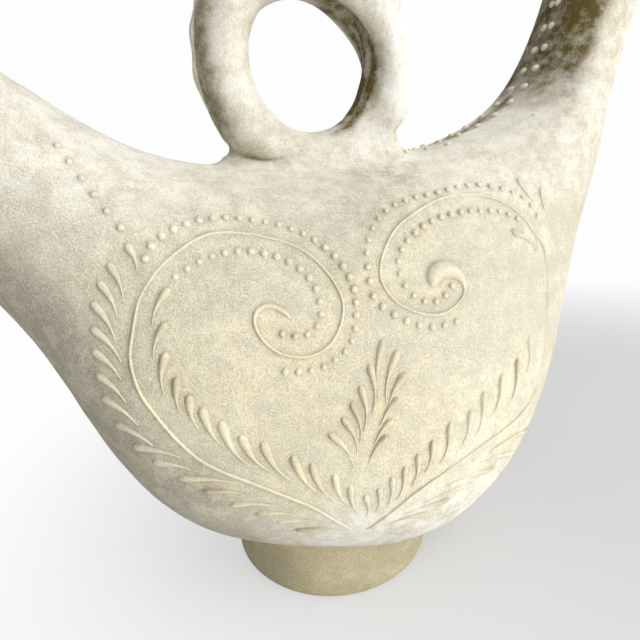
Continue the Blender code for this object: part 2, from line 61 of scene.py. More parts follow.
# Bird: stations from the tail mouth to the top of the neck, each with its upper point (x, z),
# its lower point (x, z) and its half width, in millimetres, as in the CAD model
STATIONS = (
    ((-195, 304), (-221, 279), 26),
    ((-173, 282), (-200, 246), 25),
    ((-146, 256), (-174, 212), 28),
    ((-118, 234), (-148, 178), 35),
    ((-90, 213), (-121, 136), 46),
    ((-62, 200), (-101, 82), 59),
    ((-30, 195), (-64, 33), 66),
    ((0, 194), (4, 12), 70),
    ((34, 196), (69, 22), 68.5),
    ((62, 201), (109, 65), 56),
    ((90, 211), (127, 123), 42),
    ((112, 227), (143, 173), 33),
    ((126, 250), (158, 222), 25),
    ((134, 276), (172, 263), 21.5),
    ((141, 303), (174, 297), 18),
    ((148, 329), (178, 326), 16),
)
SECTION_POWER = 2.25
WALL = 6 * MM
TAIL_JOINT = 2.7
NECK_JOINT = 12.9
MOUTH_DEPTH = 2.2
RIM_RADIUS = 3.6 * MM
RIM_OUT = 2.2 * MM
BODY_CENTRE = Vector((0, 0, 105 * MM))

# Foot, a little slimmer at the rim and wider at the top than in the CAD model
FOOT_RIM_RADIUS = 51.4 * MM
FOOT_WAIST_RADIUS = 49.6 * MM
FOOT_TOP_RADIUS = 56 * MM
FOOT_WAIST_HEIGHT = 20 * MM
FOOT_TOP_HEIGHT = 40 * MM
FOOT_WALL = 8 * MM
FOOT_LIP = 2.2 * MM
FOOT_DEPTH = 24 * MM

# Ring handle, its hole a little taller than in the CAD model, and the saddle that carries it: thinner and
# shorter under the ring's tail side, with a fillet under its neck side
RING_HEIGHT = 236.5 * MM
RING_RADIUS = 36.7 * MM
RING_COIL_RADIUS = 10.7 * MM
RING_STRETCH = 1.085
SADDLE_SIZE = Vector((104 * MM, 35 * MM, 28 * MM))
SADDLE_HEIGHT = 194 * MM
SADDLE_WEB = 0.52
SADDLE_ENDS = (0.84, 0.95)
FILLET_PLACE = Vector((31.5 * MM, -1 * MM, 205 * MM))
FILLET_SIZE = Vector((19 * MM, 23 * MM, 20 * MM))
CRIMP_FROM = -22
CRIMP_TO = 202
CRIMP_COUNT = 13
CRIMP_WIDTH = 2.2 * MM
CRIMP_ROOT = 1.2 * MM
CRIMP_SINK = 0.6 * MM
CRIMP_RISE = 0.85 * MM
CRIMP_WAVE = 0.4 * MM
CRIMP_SHIFT = 0.7 * MM

# Head
HEAD_PLACE = Vector((166 * MM, 0, 327 * MM))
HEAD_SIZE = Vector((56 * MM, 43 * MM, 48 * MM))
BEAK_TILT = 4
BEAK_REACH = 58.3 * MM
BEAK_BASE_RADIUS = 11 * MM
BEAK_TIP_RADIUS = 6 * MM
BEAK_BORE = 7.4 * MM
BEAK_ROOT = 9 * MM
BEAK_LIP = 1 * MM
COMB_THICKNESS = 7 * MM
COMB_RADIUS = 34 * MM
COMB_LOBES = 5
COMB_LOBE_DEPTH = 5 * MM
COMB_FROM = 50
COMB_TO = 150
COMB_ROOT = 5 * MM
WATTLE_DROP = Vector((186 * MM, 9 * MM, 306 * MM))
WATTLE_SIZE = Vector((9 * MM, 7 * MM, 20 * MM))
EYE_FORWARD = 9 * MM
EYE_RAISED = 4 * MM
EYE_SIZE = Vector((9 * MM, 5 * MM, 9 * MM))

# Skin: its sections, its voxels, how far the joints are smoothed, and the forms that are then added
BIRD_PLACES = np.linspace(0, len(STATIONS) - 1, 240)
MOUTH_PLACES = np.linspace(MOUTH_DEPTH, 0, 30)
BIRD_SIDES = 120
VOXEL = 1.25 * MM
BLEND_RING = 13 * MM
BLEND_LIP = 7 * MM
BLEND_NOTCH = 3.5 * MM
BLEND_HEAD = 9 * MM
RELAX_ROUNDS = 120
RELAX_STEP = 0.6
RELAX_LEAST = 0.02
UNEVEN = 0.35 * MM
TURNING_CENTRE = (4 * MM, 105 * MM)
TURNING_PITCH = 6.5 * MM
BELLY_BULGE = 8.5 * MM
BELLY_MIDDLE = 26 * MM
BELLY_REACH = 50 * MM
BELLY_AHEAD = (0.67, -0.74)

# Slip
STEM_WIDTH = 1.3 * MM
STEM_HEIGHT = 0.6 * MM
STEM_POINTS = 260
SPRAY_POINTS = 60
LEAF_WIDTH = 3.5 * MM
LEAF_HEIGHT = 1.15 * MM
LEAF_BOW = 0.08
BEAD_SIZE = 2.6 * MM
BEAD_HEIGHT = 0.9 * MM
BEAD_SEGMENTS = 12
CREST_BEAD = 1.3
SINK = 0.25 * MM

# Rings of a bead, from its foot up: reach and rise, as shares of its radius and height, and dirt with painted
# shade
BEAD_RINGS = ((1.05, -0.25, 0.6), (0.95, 0.25, 0.35), (0.72, 0.7, 0.1), (0.4, 0.94, 0))

# Dirt with painted shade: the direction of the flanks turned from the light, which get most of the shade, its
# reach beside the slip, and its reach and strength as grime with painted shade in the crease at the ring's
# tail end
SHADED_SIDE = Vector((-0.75, 0, 0.66))
HALO = 1.6 * MM
LIP_DIRT_AND_SHADE_REACH = 5 * MM
LIP_GRIME_AND_SHADE = 0.5

# Clay colours, and the stretch of stains that were wiped along the body
BLACK = (0, 0, 0, 1)
WHITE = (1, 1, 1, 1)
CREAM = (0.805, 0.745, 0.58)
SLIP_CREAM = (0.83, 0.77, 0.605)
FOOT_BUFF = (0.66, 0.57, 0.335)
# The colour of the pale grain, and of the paler clay and painted light
CHALK_AND_LIGHT = (0.93, 0.9, 0.82, 1)
CHIP = (0.93, 0.91, 0.87, 1)
# The colour of the dirt and painted shade beside the slip
SOIL_AND_SHADE = (0.34, 0.29, 0.19, 1)
# The colour of the grime and painted shade in and beside the ring
GRIME_AND_SHADE = (0.125, 0.088, 0.02, 1)
PIT = (0.16, 0.12, 0.07, 1)
WIPED = (0.45, 1, 1.5)

# Floor, which fades to the backdrop away from its centre, and light
FLOOR_SIZE = 6
FLOOR_COLOUR = (0.53, 0.53, 0.52, 1)
FLOOR_CENTRE = (0.25, 0, 0)
FLOOR_FADE = (0.1, 0.5)
FLOOR_FADE_LEAST = 0.18
BACKDROP_COLOUR = (0.985, 0.985, 0.99, 1)
ROOM_COLOUR = (0.96, 0.97, 1, 1)
ROOM_STRENGTH = (0.5, 0.8)

# Lamps, each with its place, target, size and power
LAMPS = (
    ("window", (0.95, -1.25, 0.06), (0, 0, 0.12), 0.5, 5.6),
    ("fill", (0.75, -0.95, 1.4), (0, 0, 0.18), 1.2, 22),
    ("card", (0.05, -0.31, 0.004), (0.05, -0.31, 1), 0.4, 0.75),
)

# Depths along a view ray that are tried where it misses the skin
VIEW_DEPTHS = [0.12 + 0.004 * i for i in range(60)]

# Slip trails in pixels of the photograph, each laid on the skin where its view ray meets it
TAIL_STEM = (
    (352, 530), (326, 515), (300, 502), (251, 483), (210, 466), (192, 454), (173, 436), (153, 412),
    (140, 393), (133, 374), (130, 356), (132, 336), (137, 307), (144, 290), (156, 272), (172, 256),
    (195, 240), (218, 233), (246, 234), (272, 239), (296, 247), (316, 261), (331, 278), (340, 294),
    (343, 307), (341, 323), (334, 339), (322, 351), (304, 357), (285, 355), (271, 348), (259, 335),
    (254, 321), (257, 311), (266, 306), (277, 308), (286, 314), (291, 319),
)
NECK_STEM = (
    (367, 529), (393, 511), (418, 491), (458, 463), (494, 437), (519, 416), (536, 388), (545, 350),
    (548, 310), (548, 275), (543, 246), (537, 237), (526, 221), (513, 209), (497, 200), (477, 195),
    (457, 196), (438, 200), (421, 209), (404, 221), (392, 234), (383, 254), (380, 273), (384, 287),
    (394, 300), (410, 310), (431, 315), (447, 312), (458, 303), (464, 293), (463, 283), (458, 275),
    (449, 270), (440, 270), (434, 275), (432, 286),
)
SPRAY_AXIS = ((362, 468), (367, 450), (371, 425), (375, 400), (378, 380), (381, 360))

# Rows of beads, each with its count and its pixels
BEAD_ROWS = {
    "tail_outer": (30, (
        (145, 259), (150, 247), (170, 231), (208, 219), (251, 220), (296, 231), (331, 253), (351, 281),
        (356, 311), (352, 340), (338, 358), (315, 370), (285, 372),
    )),
    "tail_lone": (6, (
        (57, 146), (72, 166), (87, 186), (100, 203), (111, 217), (120, 228),
    )),
    "tail_inner": (19, (
        (175, 277), (199, 262), (225, 253), (254, 252), (285, 260), (308, 277), (319, 299), (319, 322),
        (304, 336), (282, 334),
    )),
    "neck_outer": (30, (
        (537, 216), (526, 200), (508, 191), (474, 185), (444, 191), (415, 198), (392, 207), (375, 224),
        (367, 247), (368, 270), (374, 297), (390, 312), (411, 323), (436, 327), (456, 322),
    )),
    "neck_inner": (22, (
        (517, 219), (498, 212), (466, 212), (440, 218), (420, 229), (405, 244), (398, 263), (404, 284),
        (420, 300), (440, 300), (452, 286),
    )),
    "crest": (14, (
        (406, 152), (419, 147), (432, 144), (446, 139), (462, 134), (478, 126), (494, 116), (508, 105),
        (520, 92), (531, 77), (539, 60), (546, 43), (552, 23), (558, 2),
    )),
}

# Each stem's end: the width of its drop, where the stem starts to swell, and the stretch that wear has
# nearly flattened, as parts of its length
STEM_ENDS = {
    "tail": (2 * MM, 0.92, (0.45, 0.54)),
    "neck": (7.4 * MM, 0.925, (0.29, 0.49)),
}

# Leaves of each scroll and of the spray, as (head, tail) pixels
LEAVES = {
    "tail": (
        ((126, 244), (137, 272)), ((108, 263), (123, 301)), ((98, 281), (117, 318)),
        ((91, 302), (115, 341)), ((91, 328), (121, 362)), ((92, 350), (121, 380)), ((96, 374), (126, 403)),
        ((102, 397), (138, 425)), ((115, 423), (153, 446)), ((133, 446), (181, 458)),
        ((153, 462), (191, 470)), ((178, 478), (238, 484)), ((203, 491), (245, 495)),
        ((229, 505), (279, 507)), ((255, 514), (299, 516)), ((277, 522), (320, 522)),
        ((295, 530), (345, 530)), ((169, 288), (152, 325)), ((166, 322), (153, 358)),
        ((166, 352), (164, 394)), ((177, 377), (181, 414)), ((189, 395), (198, 429)),
        ((201, 407), (224, 447)), ((220, 421), (247, 464)), ((240, 435), (269, 471)),
        ((262, 442), (292, 481)), ((292, 455), (321, 494)), ((311, 463), (334, 500)),
        ((334, 474), (349, 506)), ((350, 486), (360, 515)),
    ),
    "neck": (
        ((365, 495), (366, 517)), ((379, 488), (375, 512)), ((392, 477), (386, 506)),
        ((405, 466), (396, 500)), ((418, 454), (412, 485)), ((433, 440), (425, 472)),
        ((450, 423), (441, 462)), ((471, 410), (462, 445)), ((484, 391), (476, 436)),
        ((502, 374), (494, 413)), ((517, 358), (512, 398)), ((529, 336), (527, 372)),
        ((517, 178), (533, 201)), ((541, 188), (544, 208)), ((511, 231), (536, 250)),
        ((513, 452), (470, 468)), ((494, 468), (446, 486)), ((471, 484), (424, 503)),
        ((450, 499), (405, 514)), ((428, 513), (388, 524)), ((528, 430), (492, 449)),
    ),
    "spray": (
        ((329, 433), (353, 466)), ((342, 417), (357, 452)), ((351, 402), (360, 442)),
        ((360, 385), (364, 430)), ((369, 364), (372, 414)), ((383, 339), (378, 397)),
        ((398, 350), (386, 403)), ((405, 374), (388, 408)), ((399, 398), (381, 424)),
        ((393, 419), (375, 443)), ((387, 436), (369, 463)),
    ),
}


def camera_axes():
    """The camera's right, up and forward directions."""
    a, p, r = (math.radians(v) for v in (CAMERA_AZIMUTH, CAMERA_PITCH, CAMERA_ROLL))
    level = Vector((-math.sin(a), math.cos(a), 0))
    right = Vector((math.cos(a), math.sin(a), 0))
    up = Vector((0, 0, 1))
    ahead = level * math.cos(p) - up * math.sin(p)
    over = level * math.sin(p) + up * math.cos(p)
    return right * math.cos(r) + over * math.sin(r), over * math.cos(r) - right * math.sin(r), ahead


def add_object(name, data):
    made = bpy.data.objects.new(name, data)
    bpy.context.scene.collection.objects.link(made)
    return made


def add_camera():
    right, up, ahead = camera_axes()
    data = bpy.data.cameras.new("camera")
    data.sensor_width = SENSOR
    data.sensor_fit = "HORIZONTAL"
    data.lens = SENSOR * FOCAL_PX / FRAME_PX
    data.clip_start = 0.01
    camera = add_object("camera", data)
    turn = Matrix((right, up, -ahead)).transposed().to_4x4()
    camera.matrix_world = Matrix.Translation(CAMERA_PLACE) @ turn
    bpy.context.scene.camera = camera


def pixel_ray(x, y):
    right, up, ahead = camera_axes()
    half = FRAME_PX / 2
    return (ahead + right * ((x - half) / FOCAL_PX) + up * ((half - y) / FOCAL_PX)).normalized()


def spline(points, places):
    """Natural cubic spline through evenly numbered points, straight beyond its ends."""
    points = np.array(points, float)
    count = len(points)
    rows = np.eye(count)
    right = np.zeros_like(points)
    for i in range(1, count - 1):
        rows[i, i - 1:i + 2] = 1, 4, 1
        right[i] = 6 * (points[i - 1] - 2 * points[i] + points[i + 1])
    bend = np.linalg.solve(rows, right)
    places = np.atleast_1d(np.asarray(places, float))
    i = np.clip(np.floor(places).astype(int), 0, count - 2)
    u = (places - i)[:, None]
    slope = points[i + 1] - points[i] - (2 * bend[i] + bend[i + 1]) / 6
    inside = np.clip(u, 0, 1)
    value = points[i] + slope * inside + bend[i] * inside ** 2 / 2 + (bend[i + 1] - bend[i]) * inside ** 3 / 6
    end_slope = slope + (bend[i] + bend[i + 1]) / 2
    return value + np.where(u > 1, end_slope * (u - 1), 0) + np.where(u < 0, slope * u, 0)


def even_path(points, count):
    """Points at equal steps along a smooth curve through these."""
    points = np.array([tuple(p) for p in points], float)
    fine = spline(points, np.linspace(0, len(points) - 1, 30 * len(points)))
    run = np.concatenate([[0], np.cumsum(np.linalg.norm(np.diff(fine, axis=0), axis=1))])
    steps = np.linspace(0, run[-1], count)
    return np.stack([np.interp(steps, run, fine[:, k]) for k in range(fine.shape[1])], 1)


def turns(count):
    """Angles at equal steps, once around."""
    return np.arange(count) * 2 * math.pi / count


def bird_rings(places, sides, grow=0):
    """Rings of the bird's outline at these stations, grown outwards."""
    upper = spline([[MM * v for v in s[0]] for s in STATIONS], places)
    lower = spline([[MM * v for v in s[1]] for s in STATIONS], places)
    width = spline([[MM * s[2]] for s in STATIONS], places)[:, 0] + grow
    middle, reach = (upper + lower) / 2, (upper - lower) / 2
    reach *= 1 + grow / np.linalg.norm(reach, axis=1, keepdims=True)
    angles = turns(sides)
    power = 2 / SECTION_POWER
    along = np.sign(np.cos(angles)) * np.abs(np.cos(angles)) ** power
    across = np.sign(np.sin(angles)) * np.abs(np.sin(angles)) ** power
    rings = np.empty((len(places), sides, 3))
    rings[:, :, 0] = middle[:, None, 0] + reach[:, None, 0] * along
    rings[:, :, 1] = width[:, None] * across
    rings[:, :, 2] = middle[:, None, 1] + reach[:, None, 1] * along
    return rings


def mesh_from(name, made):
    """A mesh of what was made in a bmesh, which is freed."""
    mesh = bpy.data.meshes.new(name)
    made.to_mesh(mesh)
    made.free()
    return mesh


def face_outwards(mesh):
    made = bmesh.new()
    made.from_mesh(mesh)
    bmesh.ops.recalc_face_normals(made, faces=made.faces)
    made.to_mesh(mesh)
    made.free()


def ring_faces(count, sides, start=0, closed=False):
    """Faces between rings of points that are numbered from start on, ring by ring."""
    faces = []
    for i in range(count if closed else count - 1):
        a, b = start + i * sides, start + (i + 1) % count * sides
        for j in range(sides):
            k = (j + 1) % sides
            faces.append((a + j, a + k, b + k, b + j))
    return faces


def grid_mesh(name, rings, closed=False):
    """A mesh through rings of points: closed joins the last to the first, or else both ends are capped."""
    count, sides = rings.shape[:2]
    faces = ring_faces(count, sides, closed=closed)
    if not closed:
        faces.append(tuple(range(sides)))
        faces.append(tuple((count - 1) * sides + j for j in range(sides)))
    mesh = bpy.data.meshes.new(name)
    mesh.from_pydata(rings.reshape(-1, 3).tolist(), [], faces)
    face_outwards(mesh)
    return mesh


def ellipsoid_mesh(name, place, size, segments, rings):
    made = bmesh.new()
    bmesh.ops.create_uvsphere(made, u_segments=segments, v_segments=rings, radius=0.5)
    bmesh.ops.scale(made, vec=size, verts=made.verts)
    bmesh.ops.translate(made, vec=place, verts=made.verts)
    return mesh_from(name, made)


def ring_rings(around, across):
    """Rings of points around the coil of the handle."""
    turn, coil = turns(around), turns(across)
    radius = RING_RADIUS + RING_COIL_RADIUS * np.cos(coil)[None, :]
    rings = np.empty((around, across, 3))
    rings[:, :, 0] = radius * np.cos(turn)[:, None]
    rings[:, :, 1] = RING_COIL_RADIUS * np.sin(coil)[None, :]
    rings[:, :, 2] = RING_HEIGHT + RING_STRETCH * radius * np.sin(turn)[:, None]
    return rings


def saddle_mesh():
    """The saddle: full under the neck side of the ring, a thin web under its tail side."""
    mesh = ellipsoid_mesh("saddle", Vector((0, 0, SADDLE_HEIGHT)), SADDLE_SIZE, 96, 48)
    points = points_of(mesh)
    points[:, 1] *= SADDLE_WEB + (1 - SADDLE_WEB) * rising(points[:, 0], -14 * MM, 12 * MM)
    points[:, 0] *= np.where(points[:, 0] < 0, *SADDLE_ENDS)
    set_points(mesh, points)
    return mesh


def tree_of(mesh):
    corners = [v.co.copy() for v in mesh.vertices]
    return BVHTree.FromPolygons(corners, [tuple(p.vertices) for p in mesh.polygons])


def points_of(mesh):
    points = np.empty(len(mesh.vertices) * 3)
    mesh.vertices.foreach_get("co", points)
    return points.reshape(-1, 3)


def set_points(mesh, points):
    mesh.vertices.foreach_set("co", points.ravel())
    mesh.update()


def normals_of(mesh):
    normals = np.empty(len(mesh.vertices) * 3)
    mesh.vertex_normals.foreach_get("vector", normals)
    return normals.reshape(-1, 3)


def set_attribute(mesh, key, values):
    attribute = mesh.attributes.new(key, "FLOAT", "POINT")
    attribute.data.foreach_set("value", np.asarray(values, np.float32))


def voxel_union(meshes):
    """One even skin around all of these closed meshes."""
    made = bmesh.new()
    for mesh in meshes:
        made.from_mesh(mesh)
    holder = add_object("joined", mesh_from("joined", made))
    remesh = holder.modifiers.new("remesh", "REMESH")
    remesh.mode = "VOXEL"
    remesh.voxel_size = VOXEL
    graph = bpy.context.evaluated_depsgraph_get()
    skin = bpy.data.meshes.new_from_object(holder.evaluated_get(graph))
    bpy.data.objects.remove(holder, do_unlink=True)
    return skin


def rising(values, start, end):
    """A soft step from 0 at start to 1 at end, which may lie below start."""
    share = np.clip((values - start) / (end - start), 0, 1)
    return share * share * (3 - 2 * share)


def relaxed(points, edges, weights):
    """Moves each point towards the middle of its neighbours, by its weight, again and again."""
    count = len(points)
    ends = np.concatenate([edges[:, 0], edges[:, 1]])
    others = np.concatenate([edges[:, 1], edges[:, 0]])
    number = np.bincount(ends, minlength=count)[:, None]
    for _ in range(RELAX_ROUNDS):
        total = np.stack([np.bincount(ends, points[others, k], count) for k in range(3)], 1)
        points = points + weights[:, None] * RELAX_STEP * (total / number - points)
    return points


def uneven(points, normals):
    """A thrown and hand-joined surface: slow swells, finger marks and faint turning rings."""
    out = np.empty(len(points))
    for i, p in enumerate(points):
        spot = Vector(p)
        slow = noise.noise(spot * 28)
        quick = noise.noise(spot * 90 + Vector((7, 3, 1)))
        radius = math.hypot(p[0] - TURNING_CENTRE[0], p[2] - TURNING_CENTRE[1])
        rings = math.sin(radius * 2 * math.pi / TURNING_PITCH + 1.5 * slow) * rising(radius, 0.05, 0.1)
        out[i] = UNEVEN * (slow + 0.35 * quick + 0.05 * rings)
    return points + normals * out[:, None]


def fuller_belly(points, normals):
    """The low bulge of each side, which hangs over the foot."""
    amount = BELLY_BULGE * np.exp(-((points[:, 0] - BELLY_MIDDLE) / BELLY_REACH) ** 2)
    ahead = np.zeros_like(points)
    ahead[:, 1] = BELLY_AHEAD[0] * np.sign(points[:, 1])
    ahead[:, 2] = BELLY_AHEAD[1]
    facing = rising((normals * ahead).sum(axis=1), 0.3, 0.85)
    return points + ahead * (amount * facing)[:, None]


def ring_inward(points, normals):
    """How far each normal points to the middle of the ring's hole, from -1 to 1."""
    rise = (points[:, 2] - RING_HEIGHT) / RING_STRETCH
    radius = np.maximum(np.hypot(points[:, 0], rise), MM)
    return -(normals[:, 0] * points[:, 0] + normals[:, 2] * rise) / radius


def ring_seam(points, normals, on_ring):
    """The seam where the coil's clay was closed: a thin ridge between two grooves around the hole."""
    y = points[:, 1] / MM
    wander = 0.8 * np.sin(points[:, 0] * 90 + points[:, 2] * 140)
    ridge = 0.75 * np.exp(-((y - wander) / 1.2) ** 2)
    groove = 0.6 * np.exp(-((np.abs(y - wander) - 3) / 1.3) ** 2)
    inside = on_ring * rising(ring_inward(points, normals), 0.5, 0.8)
    return points + normals * ((ridge - groove) * inside * MM)[:, None]


def skin_solids():
    """The closed shapes that the skin is drawn around, with the bird and the inside of its mouth first."""
    rings = [bird_rings(MOUTH_PLACES, BIRD_SIDES, -WALL), bird_rings(BIRD_PLACES, BIRD_SIDES)]
    return {
        "bird": grid_mesh("bird", np.concatenate(rings)),
        "handle_ring": grid_mesh("ring", ring_rings(160, 48), closed=True),
        "handle_saddle": saddle_mesh(),
        "head_shell": ellipsoid_mesh("head", HEAD_PLACE, HEAD_SIZE, 64, 40),
        "fillet": ellipsoid_mesh("fillet", FILLET_PLACE, FILLET_SIZE, 48, 32),
    }


def nearest_places(points, solids):
    """Each point's distance from each solid, the nearest place there, and the bird's nearest face."""
    far = np.empty((len(points), len(solids)))
    snapped = np.empty((len(points), len(solids), 3))
    faces = np.empty(len(points), int)
    for k, solid in enumerate(solids):
        tree = tree_of(solid)
        for i, p in enumerate(points):
            place, _, face, distance = tree.find_nearest(p)
            far[i, k] = distance
            snapped[i, k] = place
            if k == 0:
                faces[i] = face
    return far, snapped, faces


def joint_blend(points, far, names):
    """Each point's nearest solid, its give at the joint beside it, and its nearness to the ring's crease."""
    limits = np.array([{"bird": 1, "head_shell": BLEND_HEAD}.get(name, BLEND_RING) for name in names])
    nearest, second = np.argsort(far, axis=1)[:, :2].T
    gap = far[np.arange(len(points)), second]
    limit = np.minimum(limits[nearest], limits[second])
    ring, saddle = names.index("handle_ring"), names.index("handle_saddle")
    at_ring = (nearest == ring) ^ (second == ring)
    at_saddle = (nearest == saddle) ^ (second == saddle)
    sharp = BLEND_NOTCH + (BLEND_RING - BLEND_NOTCH) * rising(np.abs(points[:, 1]), 4 * MM, 16 * MM)
    limit = np.where(at_saddle & ~at_ring, np.minimum(limit, sharp), limit)
    tailwards = rising(points[:, 0], -8 * MM, -22 * MM)
    limit = np.where(at_ring, limit + (BLEND_LIP - limit) * tailwards, limit)
    return nearest, rising(gap, limit, 0), at_ring * tailwards * rising(gap, LIP_DIRT_AND_SHADE_REACH, 0)


def piece_labels(points, label, faces):
    """The piece that each point belongs to, from its nearest solid and the bird's nearest face."""
    row = faces // BIRD_SIDES - len(MOUTH_PLACES)
    station = np.where(row < 0, 0, BIRD_PLACES[np.clip(row, 0, len(BIRD_PLACES) - 1)])
    bird = label == "bird"
    label[label == "fillet"] = "handle_saddle"
    label[bird & (points[:, 1] < 0)] = "body_front_shell"
    label[bird & (points[:, 1] >= 0)] = "body_back_shell"
    label[bird & (station < TAIL_JOINT)] = "tail_filler"
    label[bird & (station > NECK_JOINT)] = "neck_tube"
    return label


def build_skin():
    """The bird, its handle and its head as one skin, with each point's piece and nearness to the crease."""
    solids = skin_solids()
    names = list(solids)
    skin = voxel_union(solids.values())
    points = points_of(skin)
    far, snapped, faces = nearest_places(points, solids.values())
    nearest, give, crease = joint_blend(points, far, names)
    edges = np.empty(len(skin.edges) * 2, int)
    skin.edges.foreach_get("vertices", edges)
    points = snapped[np.arange(len(points)), nearest]
    points = relaxed(points, edges.reshape(-1, 2), np.maximum(give, RELAX_LEAST))
    set_points(skin, points)
    points = fuller_belly(points, normals_of(skin))
    set_points(skin, points)
    points = uneven(points, normals_of(skin))
    points = ring_seam(points, normals_of(skin), nearest == names.index("handle_ring"))
    set_points(skin, points)
    return skin, piece_labels(points, np.array(names, object)[nearest], faces), crease


def split_skin(skin, label, values):
    """Cuts the skin into its pieces, each with the whole skin's normals and these point attributes."""
    points, normals = points_of(skin), normals_of(skin)
    owner = [label[p.vertices[0]] for p in skin.polygons]
    pieces = {}
    for name in sorted(set(owner)):
        used, faces = {}, []
        for polygon, own in zip(skin.polygons, owner):
            if own == name:
                faces.append([used.setdefault(v, len(used)) for v in polygon.vertices])
        index = np.array(list(used))
        mesh = bpy.data.meshes.new(name)
        mesh.from_pydata(points[index].tolist(), [], faces)
        mesh.update()
        mesh.shade_smooth()
        mesh.normals_split_custom_set_from_vertices(normals[index].tolist())
        for key, data in values.items():
            set_attribute(mesh, key, data[index])
        pieces[name] = mesh
    return pieces


class Skin:
    """The finished skin, for laying slip on it."""

    def __init__(self, mesh):
        self.tree = tree_of(mesh)

    def at_pixel(self, x, y):
        """Where the view ray of a pixel meets the skin, or the skin next to the ray where it misses."""
        ray = pixel_ray(x, y)
        place = self.tree.ray_cast(CAMERA_PLACE, ray)[0]
        if place is None:
            steps = [CAMERA_PLACE + ray * depth for depth in VIEW_DEPTHS]
            place = min((self.tree.find_nearest(p) for p in steps), key=lambda found: found[3])[0]
        return place

    def near(self, point):
        return self.tree.find_nearest(point)[:2]


class Slip:
    """Ridges, drops and beads of slip gathered into one mesh, on one side of the bird."""

    def __init__(self, skin, side):
        self.skin, self.side = skin, side
        self.points, self.faces, self.edge = [], [], []
        self.marks = []

    def spot(self, point):
        return Vector((point[0], point[1] * -self.side, point[2]))

    def ridge(self, path, widths, heights, across=9, soil=None):
        """A soft-edged ridge along points on the front of the skin, with a width, height and dirt at each."""
        start = len(self.points)
        count = len(path)
        path = [self.spot(p) for p in path]
        for i, p in enumerate(path):
            place, normal = self.skin.near(p)
            ahead = path[min(i + 1, count - 1)] - path[max(i - 1, 0)]
            side = normal.cross(ahead).normalized()
            self.marks.append((place, widths[i] / 2))
            for j in range(across):
                u = 2 * j / (across - 1) - 1
                base, up = self.skin.near(place + side * (u * widths[i] / 2))
                rise = heights[i] * (1 - u * u) ** 0.75 - SINK * abs(u) ** 4
                self.points.append(base + up * rise)
                # Dirt with painted shade at the ridge's feet, and painted shade on its flank turned from the
                # light
                flank = max(0, u * side.dot(SHADED_SIDE))
                dirt_and_shade = 0.55 * abs(u) ** 3 + 0.85 * flank + (soil[i] if soil else 0)
                self.edge.append(min(1, dirt_and_shade))
        for i in range(count - 1):
            for j in range(across - 1):
                a = start + i * across + j
                self.faces.append((a, a + 1, a + across + 1, a + across))

    def stem(self, path, drop, drop_from, worn):
        """An even trail whose last stretch swells into a drop, rubbed nearly flat along one stretch."""
        count = len(path)
        u = np.linspace(0, 1, count)
        swell = rising(u, drop_from, 0.97) ** 1.2
        flat = rising(u, worn[0], worn[0] + 0.03) * rising(u, worn[1], worn[1] - 0.03)
        tip = np.sqrt(np.clip(1 - np.clip((u - 0.985) / 0.0151, 0, 1) ** 2, 0.002, 1))
        start = np.minimum(1, u / 0.02 + 0.3)
        widths = (STEM_WIDTH + (drop - STEM_WIDTH) * swell) * tip * start
        heights = (STEM_HEIGHT + (drop - STEM_WIDTH) * 0.2 * swell) * tip * start * (1 - 0.85 * flat)
        self.ridge(path, widths, heights, 11)

    def leaf(self, head, tail, stem, size, soiled):
        """A comma of slip: it leaves the stem with a thin tail and swells into a round head."""
        head, tail = Vector(head), Vector(tail)
        run = head - tail
        middle = (head + tail) / 2
        near = Vector(stem[np.argmin(np.linalg.norm(stem - np.array(middle), axis=1))])
        side = near - middle
        side -= run * side.dot(run) / run.length_squared
        side = side.normalized() * run.length * LEAF_BOW
        path, widths, heights, soil = [], [], [], []
        for u in np.concatenate([np.linspace(0, 0.8, 11), np.linspace(0.84, 1, 8)]):
            body = 0.17 + 0.83 * rising(u, 0, 0.9) ** 1.5
            cap = math.sqrt(max(0, 1 - max(0, (u - 0.84) / 0.16) ** 2))
            path.append(tail + run * u + side * math.sin(math.pi * u) * (1.3 - 0.6 * u))
            widths.append(max(0.02 * MM, LEAF_WIDTH * size * body * cap))
            heights.append(LEAF_HEIGHT * size * (0.22 + 0.78 * u ** 1.4) * max(cap, 0.04))
            soil.append(soiled * (0.4 + 0.6 * u * u))
        self.ridge(path, widths, heights, 9, soil)

    def bead(self, point, size):
        place, normal = self.skin.near(self.spot(point))
        side = normal.orthogonal().normalized()
        other = normal.cross(side)
        start = len(self.points)
        radius = BEAD_SIZE / 2 * size
        self.marks.append((place, radius))
        for reach, rise, dirt_and_shade in BEAD_RINGS:
            for angle in turns(BEAD_SEGMENTS):
                out = side * math.cos(angle) + other * math.sin(angle)
                base, up = self.skin.near(place + out * radius * reach)
                self.points.append(base + up * (BEAD_HEIGHT * size * rise))
                # Dirt with painted shade at the bead's foot, and painted shade on its flank turned from the
                # light
                self.edge.append(min(1, dirt_and_shade + 0.75 * reach * max(0, out.dot(SHADED_SIDE))))
        top = len(self.points)
        self.points.append(place + normal * BEAD_HEIGHT * size)
        self.edge.append(0)
        self.faces += ring_faces(len(BEAD_RINGS), BEAD_SEGMENTS, start)
        last = top - BEAD_SEGMENTS
        for k in range(BEAD_SEGMENTS):
            self.faces.append((last + k, last + (k + 1) % BEAD_SEGMENTS, top))

    def mesh(self, name):
        mesh = bpy.data.meshes.new(name)
        mesh.from_pydata([tuple(p) for p in self.points], [], self.faces)
        face_outwards(mesh)
        facing = sum((p.center - BODY_CENTRE).dot(p.normal) > 0 for p in mesh.polygons)
        if facing < len(mesh.polygons) / 2:
            mesh.flip_normals()
        mesh.shade_smooth()
        set_attribute(mesh, "slip_edge_dirt_and_shade", self.edge)
        set_attribute(mesh, "stain", stain_of(points_of(mesh)))
        return mesh


def vary(i, amount):
    """A steady hand's small unevenness, the same on every run."""
    return 1 + amount * math.sin(12.9898 * i + 4.1)


